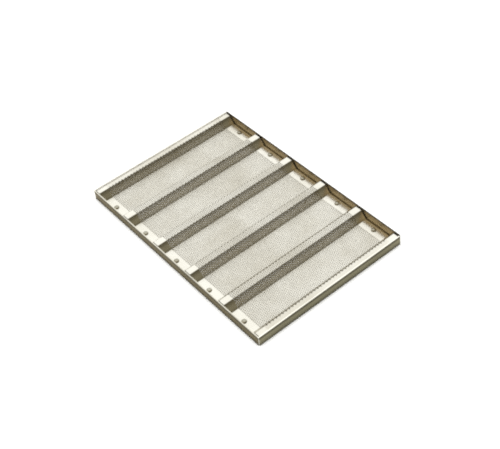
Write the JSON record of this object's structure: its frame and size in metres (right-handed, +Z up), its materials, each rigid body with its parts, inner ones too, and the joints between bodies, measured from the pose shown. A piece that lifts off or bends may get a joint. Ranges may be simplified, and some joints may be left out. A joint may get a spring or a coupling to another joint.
{
  "type": "baguette tray",
  "caption": "Flat baking tray with flat-bottomed channels side by side, folded from one sheet and riveted inside a flat-bar rim.",
  "frame": {"origin": "middle of the footprint, on the surface the tray rests on", "axes": "+X along the long side, across the channels; +Y along the channels; +Z up"},
  "size_m": [0.6, 0.4, 0.0255],
  "materials": {
    "sheet": "satin, perforated",
    "rim": "satin",
    "strip": "satin",
    "rivet": "satin"
  },
  "bodies": {
    "root": {"rim_frame": "rim", "channel_sheet": "sheet", "rest_strip_front": "strip", "rest_strip_rear": "strip", "rivet_front_1": "rivet", "rivet_front_2": "rivet", "rivet_front_3": "rivet", "rivet_front_4": "rivet", "rivet_front_5": "rivet", "rivet_rear_1": "rivet", "rivet_rear_2": "rivet", "rivet_rear_3": "rivet", "rivet_rear_4": "rivet", "rivet_rear_5": "rivet"}
  },
  "joints": []
}
